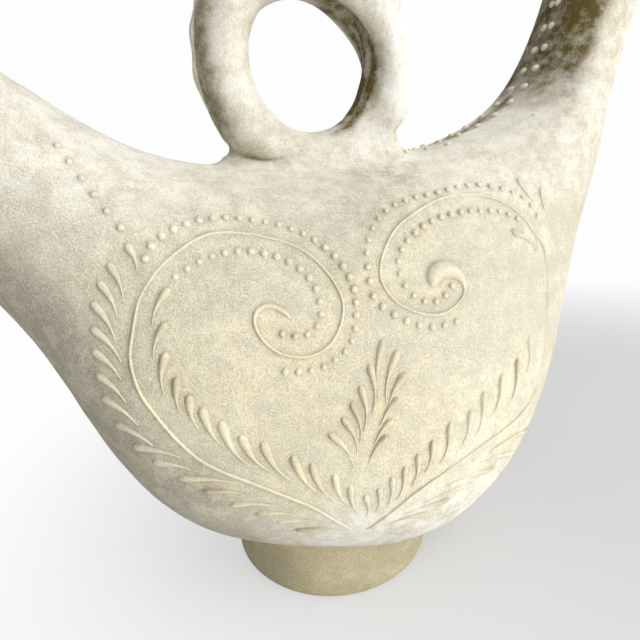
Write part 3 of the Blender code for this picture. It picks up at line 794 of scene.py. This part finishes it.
def lay_slip(skin):
    """The trailed slip of both sides: a gathering for each scroll and spray, and for each row of beads."""
    made, beads = {}, {}
    trails = {
        "tail_stem": (STEM_POINTS, TAIL_STEM),
        "neck_stem": (STEM_POINTS, NECK_STEM),
        "spray_axis": (SPRAY_POINTS, SPRAY_AXIS),
        **BEAD_ROWS,
    }
    on_front = {
        key: even_path([skin.at_pixel(*p) for p in pixels], count) for key, (count, pixels) in trails.items()
    }
    on_front["tail_outer"] = np.concatenate([on_front["tail_lone"], on_front["tail_outer"]])
    leaves = {
        key: [(skin.at_pixel(*head), skin.at_pixel(*tail)) for head, tail in pairs]
        for key, pairs in LEAVES.items()
    }
    for name, side in (("front", -1), ("back", 1)):
        for part, end in STEM_ENDS.items():
            scroll = made[f"{name}_{part}_scroll"] = Slip(skin, side)
            stem = on_front[part + "_stem"]
            scroll.stem(stem, *end)
            for i, (head, tail) in enumerate(leaves[part]):
                scroll.leaf(head, tail, stem, vary(i, 0.12), 0.3 * vary(7 * i, 0.8))
        for part in ("tail_outer", "tail_inner", "neck_outer", "neck_inner", "crest"):
            row = beads[f"{name}_{part}_beads"] = Slip(skin, side)
            for i, point in enumerate(on_front[part]):
                row.bead(point, vary(i, 0.14) * (CREST_BEAD if part == "crest" else 1))
        spray = made[f"{name}_centre_spray"] = Slip(skin, side)
        for i, (head, tail) in enumerate(leaves["spray"]):
            spray.leaf(head, tail, on_front["spray_axis"], vary(i, 0.1), 0.4 * vary(5 * i, 0.6))
    return made, beads


def slip_halo_dirt_and_shade(skin, gatherings):
    """How near each point of the skin is to the foot of a ridge or bead, from 0 to 1, weighted towards the
    side turned from the light: dirt with painted shade.
    """
    marks = [mark for slip in gatherings for mark in slip.marks]
    tree = kdtree.KDTree(len(marks))
    for i, (place, _) in enumerate(marks):
        tree.insert(place, i)
    tree.balance()
    halo = np.empty(len(skin.vertices))
    for i, v in enumerate(skin.vertices):
        place, index, far = tree.find(v.co)
        away = (v.co - place).normalized().dot(SHADED_SIDE)
        near = max(0, 1 - max(0, far - marks[index][1]) / HALO) ** 1.5
        halo[i] = near * (0.4 + 0.6 * max(0, away))
    return halo


def turned_mesh(name, profile, steps):
    """A turned shape from a closed profile of (radius, height) points."""
    angles = turns(steps)
    profile = np.array(profile)
    rings = np.empty((steps, len(profile), 3))
    rings[:, :, 0] = np.cos(angles)[:, None] * profile[None, :, 0]
    rings[:, :, 1] = np.sin(angles)[:, None] * profile[None, :, 0]
    rings[:, :, 2] = profile[None, :, 1]
    return grid_mesh(name, rings, closed=True)


def foot_mesh():
    """The pedestal: a soft rim, a slack waist and a top that runs up into the bird."""
    inner = FOOT_WAIST_RADIUS - FOOT_WALL
    outline = [
        [FOOT_TOP_RADIUS, FOOT_TOP_HEIGHT],
        [FOOT_WAIST_RADIUS + 1.2 * MM, 0.75 * FOOT_TOP_HEIGHT],
        [FOOT_WAIST_RADIUS, FOOT_WAIST_HEIGHT],
        [FOOT_WAIST_RADIUS + 0.9 * MM, 0.28 * FOOT_TOP_HEIGHT],
        [FOOT_RIM_RADIUS, 1.5 * FOOT_LIP],
    ]
    outside = spline(outline, np.linspace(0, len(outline) - 1, 40))
    turn = np.linspace(0, math.pi / 2, 8)
    lip = [[FOOT_RIM_RADIUS - FOOT_LIP * (1 - math.cos(a)), FOOT_LIP * (1 - math.sin(a))] for a in turn]
    heel = [[inner + FOOT_LIP * (1 - math.sin(a)), FOOT_LIP * (1 - math.cos(a))] for a in turn]
    inside = [[inner, z] for z in np.linspace(FOOT_LIP, FOOT_DEPTH, 12)[1:]]
    return turned_mesh("foot", np.concatenate([outside, lip, heel, inside]), 160)


def rim_mesh():
    """The rolled rim of the tail mouth."""
    around, across = 96, 20
    upper, lower = np.array(STATIONS[0][0]), np.array(STATIONS[0][1])
    slope = upper - lower
    normal = np.array([-slope[1], 0, slope[0]]) / np.linalg.norm(slope)
    path = bird_rings(np.zeros(1), around, -WALL / 2)[0] + normal * RIM_OUT
    centre = path.mean(0)
    rings = np.empty((around, across, 3))
    for i, p in enumerate(path):
        out = (p - centre) - normal * np.dot(p - centre, normal)
        out /= np.linalg.norm(out)
        swell = RIM_RADIUS * (1 + 0.05 * math.sin(0.7 * i))
        for j, a in enumerate(turns(across)):
            rings[i, j] = p + out * (1.15 * swell * math.cos(a)) + normal * (swell * math.sin(a))
    return grid_mesh("rim", rings, closed=True)


def crimp_mesh():
    """A pinched ridge that runs over the outer edge of the ring, from saddle to saddle."""
    steps, sides = 240, 16
    rings = np.empty((steps, sides, 3))
    for i in range(steps):
        u = i / (steps - 1)
        angle = math.radians(CRIMP_FROM + (CRIMP_TO - CRIMP_FROM) * u)
        turn = 2 * math.pi * CRIMP_COUNT * u
        wave = math.sin(turn + 0.8 * math.sin(9 * u))
        height = (CRIMP_RISE + CRIMP_WAVE * wave) * rising(u, 0, 0.05) * rising(u, 1, 0.95)
        shift = CRIMP_SHIFT * math.sin(turn / 2)
        for j, a in enumerate(turns(sides)):
            crown = max(0, math.cos(a))
            out = RING_RADIUS + RING_COIL_RADIUS - CRIMP_ROOT + (CRIMP_ROOT + height) * crown ** 0.8
            if math.cos(a) < 0:
                out -= CRIMP_SINK
            width = CRIMP_WIDTH * math.sin(a) + shift * crown
            rise = RING_HEIGHT + RING_STRETCH * out * math.sin(angle)
            rings[i, j] = out * math.cos(angle), width, rise
    return grid_mesh("crimp", rings)


def beak_mesh():
    """The spout: a tapering cone with a bore down to the head."""
    tilt = math.radians(BEAK_TILT)
    ahead = Vector((math.cos(tilt), 0, math.sin(tilt)))
    over = Vector((-math.sin(tilt), 0, math.cos(tilt)))
    start = HEAD_SIZE.x / 2 - BEAK_ROOT
    run = BEAK_REACH - BEAK_LIP - start
    taper = BEAK_TIP_RADIUS - BEAK_BASE_RADIUS
    profile = [(start, BEAK_BASE_RADIUS + 1.5 * MM), (start + 5 * MM, BEAK_BASE_RADIUS)]
    profile += [(start + run * u, BEAK_BASE_RADIUS + taper * u) for u in np.linspace(0.3, 1, 12)]
    profile += [(BEAK_REACH - 0.2 * MM, BEAK_TIP_RADIUS - 0.6 * MM), (BEAK_REACH, BEAK_TIP_RADIUS - 1.2 * MM)]
    profile += [(BEAK_REACH - 0.6 * MM, BEAK_BORE / 2), (start + 2 * MM, BEAK_BORE / 2)]
    sides = 40
    rings = np.empty((len(profile), sides, 3))
    for i, (along, radius) in enumerate(profile):
        for j, a in enumerate(turns(sides)):
            out = over * math.cos(a) + Vector((0, math.sin(a), 0))
            rings[i, j] = HEAD_PLACE + ahead * along + out * radius
    return grid_mesh("beak", rings)


def comb_mesh():
    """The comb: a lobed fin with rounded edges, pinched from one slab."""
    steps = 14 * COMB_LOBES
    layers = ((-1, 0.93), (-0.8, 0.985), (-0.4, 1), (0.4, 1), (0.8, 0.985), (1, 0.93))
    rings = np.empty((len(layers), 2 * (steps + 1), 3))
    for k, (across, share) in enumerate(layers):
        for i in range(steps + 1):
            angle = math.radians(COMB_FROM + (COMB_TO - COMB_FROM) * i / steps)
            lobe = abs(math.sin(math.pi * COMB_LOBES * i / steps)) ** 0.7
            outer = (COMB_RADIUS + COMB_LOBE_DEPTH * lobe) * share
            inner = HEAD_SIZE.z / 2 - COMB_ROOT
            taper = COMB_THICKNESS / 2 * across
            for radius, index, thick in ((outer, i, 0.75), (inner, 2 * steps + 1 - i, 1)):
                rings[k, index] = HEAD_PLACE + Vector(
                    (radius * math.cos(angle), taper * thick, radius * math.sin(angle))
                )
    return grid_mesh("comb", rings)


class Nodes:
    """Short ways to add and link the nodes of a material or a world."""

    def __init__(self, owner, coords):
        owner.use_nodes = True
        self.nodes, self.links = owner.node_tree.nodes, owner.node_tree.links
        self.coords = self.node("TexCoord").outputs[coords]

    def node(self, kind, inputs=(), **settings):
        """A new node with these settings and inputs, which are sockets to link or plain values."""
        node = self.nodes.new("ShaderNode" + kind)
        for key, value in settings.items():
            setattr(node, key, value)
        self.feed(node, inputs)
        return node

    def feed(self, node, inputs):
        for key, value in dict(inputs).items():
            if isinstance(value, bpy.types.NodeSocket):
                self.links.new(value, node.inputs[key])
            else:
                node.inputs[key].default_value = value

    def noise(self, scale, detail, roughness, distortion=0, stretch=(1, 1, 1)):
        place = self.node("Mapping", {"Vector": self.coords, "Scale": stretch}).outputs["Vector"]
        grain = {"Scale": scale, "Detail": detail, "Roughness": roughness, "Distortion": distortion}
        return self.node("TexNoise", {"Vector": place, **grain}).outputs["Fac"]

    def cells(self, scale):
        return self.node("TexVoronoi", {"Vector": self.coords, "Scale": scale}).outputs["Distance"]

    def attribute(self, key):
        return self.node("Attribute", attribute_name=key).outputs["Fac"]

    def ramp(self, source, low, high, dark=BLACK, light=WHITE):
        node = self.node("ValToRGB", {"Fac": source})
        for element, position, colour in zip(node.color_ramp.elements, (low, high), (dark, light)):
            element.position = position
            element.color = colour
        return node.outputs["Color"]

    def fall(self, source, low, high):
        return self.ramp(source, low, high, WHITE, BLACK)

    def math(self, operation, a, b, clamp=False):
        return self.node("Math", {0: a, 1: b}, operation=operation, use_clamp=clamp).outputs["Value"]

    def add(self, a, b, clamp=False):
        return self.math("ADD", a, b, clamp)

    def times(self, a, b, clamp=False):
        return self.math("MULTIPLY", a, b, clamp)

    def spread(self, source, low, high, gain, base):
        """From base to base + gain, as the source goes from low to high."""
        return self.add(self.times(self.ramp(source, low, high), gain), base)

    def soft_step(self, source, start, end, least, most):
        """Softly from least to most, as the source goes from start to end."""
        inputs = {"Value": source, "From Min": start, "From Max": end, "To Min": least, "To Max": most}
        return self.node("MapRange", inputs, interpolation_type="SMOOTHSTEP").outputs["Result"]

    def mixed(self, factor, base, over):
        """The base colour, turned towards the flat colour over by the factor."""
        return self.node("Mix", {0: factor, 6: base, 7: over}, data_type="RGBA").outputs[2]

    def finish(self, output, factor, first, second):
        """Sends a mix of two shaders to the output node."""
        mix = self.node("MixShader", {0: factor, 1: first, 2: second})
        self.feed(self.nodes[output], {"Surface": mix.outputs["Shader"]})


def clay_material(name, tint, dirt_and_shade, edge, sand, blotch):
    """Matt unglazed clay: cream body, cloudy stains, sandy grain, pits, dirt with painted shade in the
    hollows and on shaded sides, and paler clay with painted light.

    Edge names the attribute with the dirt and painted shade beside the slip.  Dirt, sand and blotch are the
    strengths of that dirt and painted shade, of the grain and of the wiped stains.
    """
    material = bpy.data.materials.new(name)
    clay = Nodes(material, "Object")
    ramp, fall, spread = clay.ramp, clay.fall, clay.spread
    add, times, mixed = clay.add, clay.times, clay.mixed
    cloud = clay.noise(13, 5, 0.55)
    patch = clay.noise(38, 6, 0.65)
    soot = clay.noise(24, 6, 0.6, 0.6, WIPED)
    flecks = clay.noise(140, 7, 0.78)
    grain = clay.noise(1100, 4, 0.75)
    fine = clay.noise(2600, 2, 0.6)

    def shade(red, green, blue):
        return tint[0] * red, tint[1] * green, tint[2] * blue, 1

    colour = ramp(cloud, 0.32, 0.68, shade(0.95, 0.95, 0.94), shade(1.05, 1.06, 1.12))
    stain = times(clay.attribute("stain"), spread(patch, 0.35, 0.65, 0.6, 0.4))
    colour = mixed(stain, colour, shade(0.92, 0.865, 0.61))
    colour = mixed(times(ramp(patch, 0.46, 0.66), 0.5), colour, shade(0.96, 0.92, 0.78))
    mottle = times(ramp(flecks, 0.42, 0.58), 0.76 * sand)
    colour = mixed(mottle, colour, shade(0.7, 0.685, 0.64))
    colour = mixed(times(ramp(soot, 0.44, 0.62), blotch), colour, shade(0.68, 0.67, 0.66))
    # Grey dirt with painted shade under the tail side, and painted shade in a slanting band
    smudge_and_shade = times(clay.attribute("smudge_and_shade"), spread(patch, 0.36, 0.62, 0.7, 0.3))
    smudge_and_shade = times(smudge_and_shade, spread(flecks, 0.42, 0.58, 1.1, 0.5), True)
    colour = mixed(smudge_and_shade, colour, shade(0.52, 0.5, 0.49))
    colour = mixed(times(fall(grain, 0.36, 0.5), 0.8 * sand), colour, shade(0.62, 0.59, 0.53))
    # Paler clay with painted light, low on the belly, along the top and on the ring's lit side
    chalk_and_light = add(fall(patch, 0.38, 0.62), fall(flecks, 0.42, 0.58))
    chalk_and_light = times(times(clay.attribute("pale_and_lit"), 0.62), chalk_and_light)
    bright = times(ramp(fine, 0.5, 0.62), 0.55 * sand)
    colour = mixed(add(bright, chalk_and_light, True), colour, CHALK_AND_LIGHT)
    # Dirt and painted shade beside the slip, darkest on the sides turned from the light
    soil = times(clay.attribute(edge), spread(patch, 0.36, 0.62, 0.8, 0.2))
    colour = mixed(times(soil, dirt_and_shade, True), colour, SOIL_AND_SHADE)
    # Dark grime with painted shade in the ring's hole, on its shaded side and in the crease at its tail end
    grime_and_shade_streak = times(clay.attribute("grime_and_shade"), spread(flecks, 0.4, 0.6, 0.5, 0.75))
    grime_and_shade_streak = times(grime_and_shade_streak, spread(patch, 0.38, 0.6, 0.35, 0.75), True)
    colour = mixed(grime_and_shade_streak, colour, GRIME_AND_SHADE)
    pit = times(fall(clay.cells(190), 0.05, 0.12), ramp(soot, 0.6, 0.68))
    colour = mixed(pit, colour, PIT)
    chip = times(fall(clay.cells(60), 0.05, 0.08), ramp(patch, 0.64, 0.7))
    colour = mixed(chip, colour, CHIP)

    height = add(times(grain, 0.6), times(fine, 0.35))
    height = add(height, times(flecks, 0.9))
    height = clay.math("SUBTRACT", height, times(pit, 1.2))
    bump = clay.node("Bump", {"Strength": sand, "Distance": 0.9 * MM, "Height": height})
    rough = ramp(patch, 0.2, 0.8, (0.82, 0.82, 0.82, 1), (0.96, 0.96, 0.96, 1))
    looks = {"Base Color": colour, "Roughness": rough, "Specular IOR Level": 0.22}
    clay.feed(clay.nodes["Principled BSDF"], {**looks, "Normal": bump.outputs["Normal"]})
    return material


def add_piece(name, mesh, material, slot, *nodes):
    piece = add_object(name, mesh)
    mesh.materials.append(material)
    if not mesh.has_custom_normals:
        mesh.shade_smooth()
    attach(piece, "root")
    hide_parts(*nodes)


def grime_and_shade_of(points, normals):
    """Grime with painted shade inside the ring's hole, on the ring's shaded side and on the neck's
    tail-facing side, and old dirt along the seam on the back of the neck.
    """
    x, y, z = points.T / MM
    forward, up = normals[:, 0], normals[:, 2]
    inward = ring_inward(points, normals)
    radius = np.hypot(points[:, 0], (points[:, 2] - RING_HEIGHT) / RING_STRETCH)
    on_ring = rising(z, 200, 212) * (radius < 56 * MM) * rising(np.abs(y), 12.5, 6.5)
    # Painted shade with grime inside the hole and on the ring's shaded tail side
    inner = rising(inward, 0.45, 0.85) * rising(x, -2, 14) * (0.75 + 0.25 * np.cos(1.1 * y))
    outer = rising(inward, 0.25, -0.65) * rising(x, -4, -34)
    ring = on_ring * (1.2 * inner + 0.66 * outer)
    upper = rising(up + np.abs(forward) * (x > 100), 0, 0.6) * rising(0.35 * up - forward, -0.2, 0.3)
    seam = rising(np.abs(y), 7, 0) * rising(x, 48, 78) * upper
    # Painted shade on the neck's side that faces the tail, away from the light
    behind = rising(-forward, 0.05, 0.65) * rising(x, 90, 120) * rising(z, 198, 238)
    neck = rising(z, 335, 305) * np.maximum(0.8 * seam, 0.95 * behind)
    return np.clip(ring + neck, 0, 1)


def stain_of(points):
    """The yellowed middle of each side, fading out towards the tail, the neck and the back."""
    x, _, z = points.T / MM
    return np.exp(-((x + 34) / 85) ** 2 - ((z - 120) / 62) ** 2)


def smudge_and_shade_of(points, normals):
    """Grey dirt with painted shade: painted shade with grey dirt under the tail side, grey handling dirt in a
    cloud over the tail scroll, and painted shade of a soft crease in a slanting band.
    """
    x, _, z = points.T / MM
    # Painted shade with grey dirt on the low tail side, which turns away from the light and down
    under = rising(-normals[:, 0] - 0.9 * normals[:, 2], 0.15, 0.75) * rising(x, -30, -80)
    cloud = np.exp(-((x + 56) / 28) ** 2) * rising(z, 135, 165) * rising(z, 198, 178)
    # Painted shade of a soft crease, in a slanting band
    along = 0.82 * (x + 15) + 0.57 * (z - 168)
    off = 0.82 * (z - 168) - 0.57 * (x + 15)
    band = np.exp(-(off / 11) ** 2) * rising(along, -20, 0) * rising(along, 75, 45)
    return np.clip(0.95 * under + 0.5 * cloud + 0.55 * band, 0, 1)


def pale_and_lit_of(points):
    """Paler clay with painted light: paler clay and painted bounce light low on the belly, painted light
    along the top and on the lit neck side of the ring.
    """
    x, _, z = points.T / MM
    low = rising(z, 80, 35) * rising(x, -60, -30)
    top = 0.5 * rising(z, 165, 205)
    ring = rising(z, 205, 215) * rising(x, 20, 35) * (x < 60)
    return np.maximum(low, np.maximum(top, ring))


def add_pieces():
    skin, label, crease = build_skin()
    points, normals = points_of(skin), normals_of(skin)
    slip, beads = lay_slip(Skin(skin))
    values = {
        "stain": stain_of(points),
        "smudge_and_shade": smudge_and_shade_of(points, normals),
        "pale_and_lit": pale_and_lit_of(points),
        "slip_halo_dirt_and_shade": slip_halo_dirt_and_shade(skin, [*slip.values(), *beads.values()]),
        # Grime with painted shade, also in the crease at the ring's tail end
        "grime_and_shade": np.maximum(grime_and_shade_of(points, normals), LIP_GRIME_AND_SHADE * crease),
    }
    body = clay_material("body_clay", CREAM, 0.85, "slip_halo_dirt_and_shade", 1, 0.72)
    relief = clay_material("slip_relief", SLIP_CREAM, 0.95, "slip_edge_dirt_and_shade", 0.7, 0.5)
    foot = clay_material("foot_clay", FOOT_BUFF, 0.6, "slip_halo_dirt_and_shade", 0.7, 0.8)
    for name, mesh in split_skin(skin, label, values).items():
        slot = "handle_clay" if name.startswith("handle") else "body_clay"
        add_piece(name + "_skin", mesh, body, slot, name)
    for name, gathering in slip.items():
        add_piece(name + "_slip", gathering.mesh(name + "_slip"), relief, "slip_relief", name)
    for name, gathering in beads.items():
        shell = "body_front_shell" if name.startswith("front") else "body_back_shell"
        add_piece(name + "_slip", gathering.mesh(name + "_slip"), relief, "body_clay", shell)
    add_piece("foot_turned", foot_mesh(), foot, "foot_clay", "foot_pedestal")
    add_piece("tail_rolled_rim", rim_mesh(), body, "body_clay", "tail_mouth_rim")
    add_piece("handle_crimp", crimp_mesh(), body, "handle_clay", "handle_crimped_band")
    add_piece("beak", beak_mesh(), body, "body_clay", "beak_spout")
    add_piece("comb_fin", comb_mesh(), body, "body_clay", "comb")
    bulge = 1 - (2 * EYE_FORWARD / HEAD_SIZE.x) ** 2 - (2 * EYE_RAISED / HEAD_SIZE.z) ** 2
    for name, side in (("front", -1), ("back", 1)):
        drop = Vector((WATTLE_DROP.x, side * WATTLE_DROP.y, WATTLE_DROP.z))
        wattle = ellipsoid_mesh("wattle", drop, WATTLE_SIZE, 32, 24)
        add_piece(name + "_wattle_drop", wattle, body, "body_clay", name + "_wattle")
        spot = HEAD_PLACE + Vector((EYE_FORWARD, side * HEAD_SIZE.y / 2 * math.sqrt(bulge), EYE_RAISED))
        eye = ellipsoid_mesh("eye", spot, EYE_SIZE, 32, 20)
        add_piece(name + "_eye_dab", eye, relief, "body_clay", name + "_eye")


def add_floor():
    """A pale floor that fades into a white backdrop away from the pitcher."""
    made = bmesh.new()
    bmesh.ops.create_grid(made, x_segments=1, y_segments=1, size=FLOOR_SIZE)
    floor = add_object("floor", mesh_from("floor", made))
    material = bpy.data.materials.new("floor")
    ground = Nodes(material, "Object")
    shader = ground.nodes["Principled BSDF"]
    ground.feed(shader, {"Roughness": 0.8, "Base Color": FLOOR_COLOUR})
    white = ground.node("Emission", {"Color": BACKDROP_COLOUR})
    away = ground.node("VectorMath", {0: ground.coords, 1: FLOOR_CENTRE}, operation="SUBTRACT")
    reach = ground.node("VectorMath", {0: away.outputs["Vector"]}, operation="LENGTH")
    fade = ground.soft_step(reach.outputs["Value"], *FLOOR_FADE, FLOOR_FADE_LEAST, 1)
    seen = ground.times(fade, ground.node("LightPath").outputs["Is Camera Ray"])
    ground.finish("Material Output", seen, shader.outputs["BSDF"], white.outputs["Emission"])
    floor.data.materials.append(material)


def add_lamp(name, place, target, size, power):
    data = bpy.data.lights.new(name, "AREA")
    data.shape = "DISK"
    data.size = size
    data.energy = power
    lamp = add_object(name, data)
    ahead = (Vector(target) - Vector(place)).normalized()
    lamp.matrix_world = Matrix.Translation(place) @ ahead.to_track_quat("-Z", "Y").to_matrix().to_4x4()
    lamp.visible_camera = False


def add_light():
    """Three soft lamps, and a room that is brighter on the neck's side and white to the camera."""
    for lamp in LAMPS:
        add_lamp(*lamp)
    world = bpy.data.worlds.new("room")
    bpy.context.scene.world = world
    air = Nodes(world, "Generated")
    room = air.nodes["Background"]
    across = air.node("SeparateXYZ", {"Vector": air.coords}).outputs["X"]
    air.feed(room, {"Color": ROOM_COLOUR, "Strength": air.soft_step(across, -1, 1, *ROOM_STRENGTH)})
    backdrop = air.node("Background", {"Color": BACKDROP_COLOUR})
    seen = air.node("LightPath").outputs["Is Camera Ray"]
    air.finish("World Output", seen, room.outputs["Background"], backdrop.outputs["Background"])


add_camera()
add_pieces()
add_floor()
add_light()
bpy.context.scene.view_settings.view_transform = "Standard"
